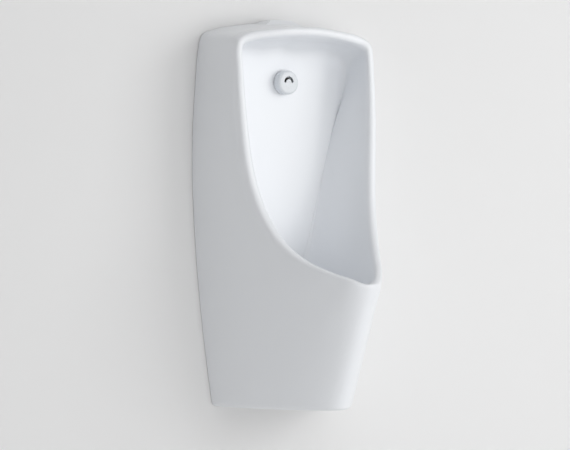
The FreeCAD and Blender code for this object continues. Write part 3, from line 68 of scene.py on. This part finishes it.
back = Vector((math.sin(CAMERA_TURN), -math.cos(CAMERA_TURN), 0))
camera_data = bpy.data.cameras.new("photo_camera")
camera = bpy.data.objects.new("photo_camera", camera_data)
scene.collection.objects.link(camera)
camera.location = Vector((AIM.x, AIM.y, EYE_HEIGHT)) + back * CAMERA_REACH
camera.rotation_euler = (-back).to_track_quat("-Z", "Y").to_euler()
camera_data.sensor_width = CAMERA_FILM
camera_data.lens = CAMERA_FILM * CAMERA_REACH / (PHOTO_WIDTH * METRES_PER_PIXEL)
camera_data.shift_x = -(AIM_PIXEL[0] - PHOTO_MIDDLE[0]) / PHOTO_WIDTH
camera_data.shift_y = -(PHOTO_MIDDLE[1] - AIM_PIXEL[1]) / PHOTO_WIDTH
scene.camera = camera


# ------------------------------------------------------------------ effects shared by the finishes
def new_group(name, inputs, outputs):
    """An empty shader group with its named inputs and outputs."""
    group = bpy.data.node_groups.new(name, "ShaderNodeTree")
    for label, kind, value in inputs:
        socket = group.interface.new_socket(label, in_out="INPUT", socket_type=kind)
        socket.default_value = value
    for label, kind in outputs:
        group.interface.new_socket(label, in_out="OUTPUT", socket_type=kind)
    return group, group.nodes.new("NodeGroupInput"), group.nodes.new("NodeGroupOutput")


def link(tree, start, end):
    tree.links.new(start, end)


def noise(tree, scale, detail, rough):
    """Noise on Object coordinates, at a scale that comes from a socket."""
    place = tree.nodes.new("ShaderNodeTexCoord")
    texture = tree.nodes.new("ShaderNodeTexNoise")
    link(tree, place.outputs["Object"], texture.inputs["Vector"])
    link(tree, scale, texture.inputs["Scale"])
    texture.inputs["Detail"].default_value = detail
    texture.inputs["Roughness"].default_value = rough
    return texture.outputs["Fac"]


def ranged(tree, value, low, high):
    """A value from 0 to 1 spread between two numbers or sockets."""
    node = tree.nodes.new("ShaderNodeMapRange")
    link(tree, value, node.inputs["Value"])
    for label, end in (("To Min", low), ("To Max", high)):
        if hasattr(end, "links"):
            link(tree, end, node.inputs[label])
        else:
            node.inputs[label].default_value = end
    return node.outputs["Result"]


def make_mottle():
    """Mottle: two sizes of soft patches tint a colour and change its roughness, and raise fine peel."""
    group, start, end = new_group("mottle", [
        ("Color", "NodeSocketColor", (1, 1, 1, 1)), ("Tint", "NodeSocketColor", (1, 1, 1, 1)),
        ("Amount", "NodeSocketFloat", 0.5), ("Patch Scale", "NodeSocketFloat", 6.0),
        ("Fine Scale", "NodeSocketFloat", 180.0), ("Roughness", "NodeSocketFloat", 0.3),
        ("Spread", "NodeSocketFloat", 0.05)], [
        ("Color", "NodeSocketColor"), ("Roughness", "NodeSocketFloat"), ("Height", "NodeSocketFloat")])
    patches = noise(group, start.outputs["Patch Scale"], 3.0, 0.55)
    fine = noise(group, start.outputs["Fine Scale"], 2.0, 0.5)
    share = group.nodes.new("ShaderNodeMath")
    share.operation = "MULTIPLY"
    link(group, patches, share.inputs[0])
    link(group, start.outputs["Amount"], share.inputs[1])
    mix = group.nodes.new("ShaderNodeMix")
    mix.data_type = "RGBA"
    link(group, share.outputs[0], mix.inputs["Factor"])
    link(group, start.outputs["Color"], mix.inputs["A"])
    link(group, start.outputs["Tint"], mix.inputs["B"])
    link(group, mix.outputs["Result"], end.inputs["Color"])
    swing = group.nodes.new("ShaderNodeMath")
    swing.operation = "MULTIPLY_ADD"
    link(group, ranged(group, fine, -0.5, 0.5), swing.inputs[0])
    link(group, start.outputs["Spread"], swing.inputs[1])
    link(group, start.outputs["Roughness"], swing.inputs[2])
    link(group, swing.outputs[0], end.inputs["Roughness"])
    link(group, fine, end.inputs["Height"])
    return group


def make_drawn():
    """Drawn lines: noise stretched along one axis, as on turned, drawn or brushed metal."""
    group, start, end = new_group("drawn_lines", [
        ("Stretch", "NodeSocketVector", (4.0, 4.0, 400.0)), ("Low", "NodeSocketFloat", 0.25),
        ("High", "NodeSocketFloat", 0.45)], [("Roughness", "NodeSocketFloat"), ("Height", "NodeSocketFloat")])
    place = group.nodes.new("ShaderNodeTexCoord")
    scaled = group.nodes.new("ShaderNodeVectorMath")
    scaled.operation = "MULTIPLY"
    link(group, place.outputs["Object"], scaled.inputs[0])
    link(group, start.outputs["Stretch"], scaled.inputs[1])
    texture = group.nodes.new("ShaderNodeTexNoise")
    texture.inputs["Scale"].default_value = 1.0
    texture.inputs["Detail"].default_value = 3.0
    link(group, scaled.outputs[0], texture.inputs["Vector"])
    link(group, ranged(group, texture.outputs["Fac"], start.outputs["Low"], start.outputs["High"]),
         end.inputs["Roughness"])
    link(group, texture.outputs["Fac"], end.inputs["Height"])
    return group


MOTTLE = make_mottle()
DRAWN = make_drawn()


def new_material(name):
    material = bpy.data.materials.new(name)
    material.use_nodes = True
    return material, material.node_tree, material.node_tree.nodes["Principled BSDF"]


def placed(tree, group, **values):
    """The group placed in a material, with its inputs set by name."""
    node = tree.nodes.new("ShaderNodeGroup")
    node.node_tree = group
    for label, value in values.items():
        node.inputs[label.replace("_", " ")].default_value = value
    return node


def raised(tree, shader, height, distance):
    """A bump of a height in metres on the shader's normal."""
    bump = tree.nodes.new("ShaderNodeBump")
    bump.inputs["Distance"].default_value = distance
    link(tree, height, bump.inputs["Height"])
    link(tree, bump.outputs["Normal"], shader.inputs["Normal"])


def finish(name, color, tint, amount=0.5, patch=8.0, fine=200.0, rough=0.4, spread=0.08, peel=0.00002,
           metal=0.0, coat=0.0, coat_rough=0.05):
    """A mottled finish: plastic, rubber, glaze or cast metal."""
    material, tree, shader = new_material(name)
    mottle = placed(tree, MOTTLE, Color=(*color, 1), Tint=(*tint, 1), Amount=amount, Patch_Scale=patch,
                    Fine_Scale=fine, Roughness=rough, Spread=spread)
    link(tree, mottle.outputs["Color"], shader.inputs["Base Color"])
    link(tree, mottle.outputs["Roughness"], shader.inputs["Roughness"])
    shader.inputs["Metallic"].default_value = metal
    shader.inputs["Coat Weight"].default_value = coat
    shader.inputs["Coat Roughness"].default_value = coat_rough
    raised(tree, shader, mottle.outputs["Height"], peel)
    return material


def drawn_finish(name, color, tint, stretch, low, high, peel=0.00001):
    """Metal with drawn lines in its roughness and relief, and faint patches in its colour."""
    material, tree, shader = new_material(name)
    mottle = placed(tree, MOTTLE, Color=(*color, 1), Tint=(*tint, 1), Amount=0.5, Patch_Scale=30.0)
    lines = placed(tree, DRAWN, Stretch=stretch, Low=low, High=high)
    link(tree, mottle.outputs["Color"], shader.inputs["Base Color"])
    link(tree, lines.outputs["Roughness"], shader.inputs["Roughness"])
    shader.inputs["Metallic"].default_value = 1.0
    raised(tree, shader, lines.outputs["Height"], peel)
    return material


# ------------------------------------------------------------------ finishes
glaze = finish("white_glaze", (0.900, 0.920, 0.950), (0.884, 0.905, 0.936), amount=0.6, patch=5.0, fine=70.0,
               rough=0.34, spread=0.05, peel=0.00004, coat=0.25, coat_rough=0.16)
cap_plastic = finish("white_cap", (0.76, 0.79, 0.82), (0.74, 0.77, 0.80), rough=0.28, spread=0.06, fine=400.0)
white_plastic = finish("white_plastic", (0.70, 0.71, 0.72), (0.66, 0.67, 0.67), rough=0.42)
grey_plastic = finish("grey_plastic", (0.17, 0.18, 0.19), (0.20, 0.21, 0.22), rough=0.45)
black_plastic = finish("black_plastic", (0.012, 0.012, 0.013), (0.02, 0.02, 0.021), rough=0.45, fine=500.0)
rubber = finish("black_rubber", (0.014, 0.014, 0.015), (0.028, 0.027, 0.026), amount=0.8, rough=0.75,
                spread=0.2, fine=700.0, peel=0.00005)
board_green = finish("board_green", (0.010, 0.075, 0.030), (0.016, 0.10, 0.045), patch=90.0, rough=0.3,
                     coat=0.4)
cell_sleeve = finish("cell_sleeve", (0.05, 0.09, 0.16), (0.06, 0.10, 0.17), rough=0.25, coat=0.5)
valve_disc = finish("disc_ceramic", (0.72, 0.69, 0.62), (0.68, 0.65, 0.58), rough=0.35, fine=900.0)
brass = drawn_finish("raw_brass", (0.60, 0.40, 0.15), (0.50, 0.33, 0.12), (60.0, 700.0, 60.0), 0.22, 0.42)
# near-black brass: painted shade for the inside of the spray's bore
brass_painted_shade = finish("brass_painted_shade", (0.020, 0.016, 0.012), (0.030, 0.022, 0.014), rough=0.6, metal=0.3)
steel = drawn_finish("plain_steel", (0.48, 0.49, 0.50), (0.42, 0.43, 0.44), (20.0, 500.0, 500.0), 0.28, 0.48)
chrome = finish("bright_chrome", (0.66, 0.67, 0.68), (0.60, 0.61, 0.63), patch=25.0, rough=0.09, spread=0.05,
                metal=1.0, peel=0.000004)
braid = drawn_finish("steel_braid", (0.40, 0.41, 0.42), (0.25, 0.26, 0.27), (900.0, 900.0, 900.0), 0.3, 0.6,
                     peel=0.0004)
winding = drawn_finish("copper_winding", (0.55, 0.22, 0.09), (0.42, 0.15, 0.06), (40.0, 2500.0, 40.0), 0.25,
                       0.5, peel=0.0002)

# the finish that each of the record's material slots shows
FINISH_OF_SLOT = {
    "white_glaze": glaze, "white_cap": cap_plastic, "white_plastic": white_plastic,
    "grey_plastic": grey_plastic, "black_plastic": black_plastic, "black_rubber": rubber,
    "green_board": board_green, "cell_sleeve": cell_sleeve, "disc_ceramic": valve_disc, "raw_brass": brass,
    "plain_steel": steel, "bright_chrome": chrome, "steel_braid": braid, "copper_winding": winding,
}
for part in frame["record"]["subparts"]:
    mesh = nodes[part["node"]].data
    mesh.materials.clear()
    mesh.materials.append(FINISH_OF_SLOT[part["material_slot"]])
# the spray's brass shows only through the crescent slot; its near-black finish there is painted shade, not
# the brass's own colour
nodes["spray_body"].data.materials[0] = brass_painted_shade


# ------------------------------------------------------------------ springs as merged copies of their coils
# the poppet and the plunger both travel 3 mm
SPRING_TRAVEL, MERGE_ROOM, EDGE_ANGLE = 0.003, 0.000001, math.radians(40)


def shortened(node):
    """The node's coil as its own piece: a merged copy of its mesh, with sharp edges set by angle, in place of
    the hidden node."""
    coil_mesh = nodes[node].data.copy()
    shell = bmesh.new()
    shell.from_mesh(coil_mesh)
    bmesh.ops.remove_doubles(shell, verts=shell.verts, dist=MERGE_ROOM)
    shell.to_mesh(coil_mesh)
    shell.free()
    if "custom_normal" in coil_mesh.attributes:
        coil_mesh.attributes.remove(coil_mesh.attributes["custom_normal"])
    coil_mesh.set_sharp_from_angle(angle=EDGE_ANGLE)
    coil = bpy.data.objects.new(node + "_coil", coil_mesh)
    scene.collection.objects.link(coil)
    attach(coil, "hung_body")
    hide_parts(node)
    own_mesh(coil)


shortened("check_spring")
shortened("plunger_spring")


# ------------------------------------------------------------------ wall, floor and light
def sheet_mesh(name, corners):
    mesh = bpy.data.meshes.new(name)
    mesh.from_pydata(corners, [], [(0, 1, 2, 3)])
    sheet = bpy.data.objects.new(name, mesh)
    scene.collection.objects.link(sheet)
    return sheet


def stage_finish(name, color):
    """A matt one sided surface: seen from behind it lets everything through."""
    material, tree, shader = new_material(name)
    mottle = placed(tree, MOTTLE, Color=(*color, 1), Tint=(*[0.97 * c for c in color], 1), Amount=0.4,
                    Patch_Scale=2.0)
    link(tree, mottle.outputs["Color"], shader.inputs["Base Color"])
    shader.inputs["Roughness"].default_value = 0.9
    clear = tree.nodes.new("ShaderNodeBsdfTransparent")
    side = tree.nodes.new("ShaderNodeNewGeometry")
    choose = tree.nodes.new("ShaderNodeMixShader")
    link(tree, side.outputs["Backfacing"], choose.inputs["Fac"])
    link(tree, shader.outputs["BSDF"], choose.inputs[1])
    link(tree, clear.outputs["BSDF"], choose.inputs[2])
    link(tree, choose.outputs["Shader"], tree.nodes["Material Output"].inputs["Surface"])
    return material


WALL_Y, FLOOR_Z, WALL_TOP, REACH = 0.0012, -0.55, 4.0, 6.0
wall = sheet_mesh("wall", [(-REACH, WALL_Y, FLOOR_Z), (REACH, WALL_Y, FLOOR_Z), (REACH, WALL_Y, WALL_TOP),
                           (-REACH, WALL_Y, WALL_TOP)])
floor = sheet_mesh("floor", [(-REACH, -REACH, FLOOR_Z), (REACH, -REACH, FLOOR_Z), (REACH, REACH, FLOOR_Z),
                             (-REACH, REACH, FLOOR_Z)])
WALL_PAINT = (0.86, 0.86, 0.86)
for sheet in (wall, floor):
    sheet.data.materials.append(stage_finish(sheet.name + "_paint", WALL_PAINT))


LIT_POINT = Vector((0, -0.1, 0.35))


def soft_box(name, at, width, height, power):
    """A rectangular area light that looks at the bowl."""
    data = bpy.data.lights.new(name, "AREA")
    data.shape = "RECTANGLE"
    data.size, data.size_y, data.energy = width, height, power
    lamp = bpy.data.objects.new(name, data)
    lamp.location = at
    lamp.rotation_euler = (LIT_POINT - Vector(at)).to_track_quat("-Z", "Y").to_euler()
    scene.collection.objects.link(lamp)


soft_box("key", (2.5, -2.8, 1.1), width=2.2, height=2.4, power=35)
soft_box("front", (0.1, -3.2, -0.1), width=2.0, height=0.8, power=15)
# the room is brightest in front and to the right, as from a wide window, and dims from there to the
# directions whose dot product with that side is below ROOM_TURNED_AWAY
ROOM_OPEN_SIDE, ROOM_TURNED_AWAY = (0.34, -0.94, 0.0), -0.3
ROOM_DIM, ROOM_BRIGHT = 0.12, 0.79
world = bpy.data.worlds.new("room")
world.use_nodes = True
sky = world.node_tree
facing = sky.nodes.new("ShaderNodeVectorMath")
facing.operation = "DOT_PRODUCT"
link(sky, sky.nodes.new("ShaderNodeTexCoord").outputs["Generated"], facing.inputs[0])
facing.inputs[1].default_value = ROOM_OPEN_SIDE
spread = ranged(sky, facing.outputs["Value"], ROOM_DIM, ROOM_BRIGHT)
spread.node.inputs["From Min"].default_value = ROOM_TURNED_AWAY
link(sky, spread, sky.nodes["Background"].inputs["Strength"])
sky.nodes["Background"].inputs["Color"].default_value = (1, 1, 1, 1)
scene.world = world
scene.view_settings.view_transform = "Standard"
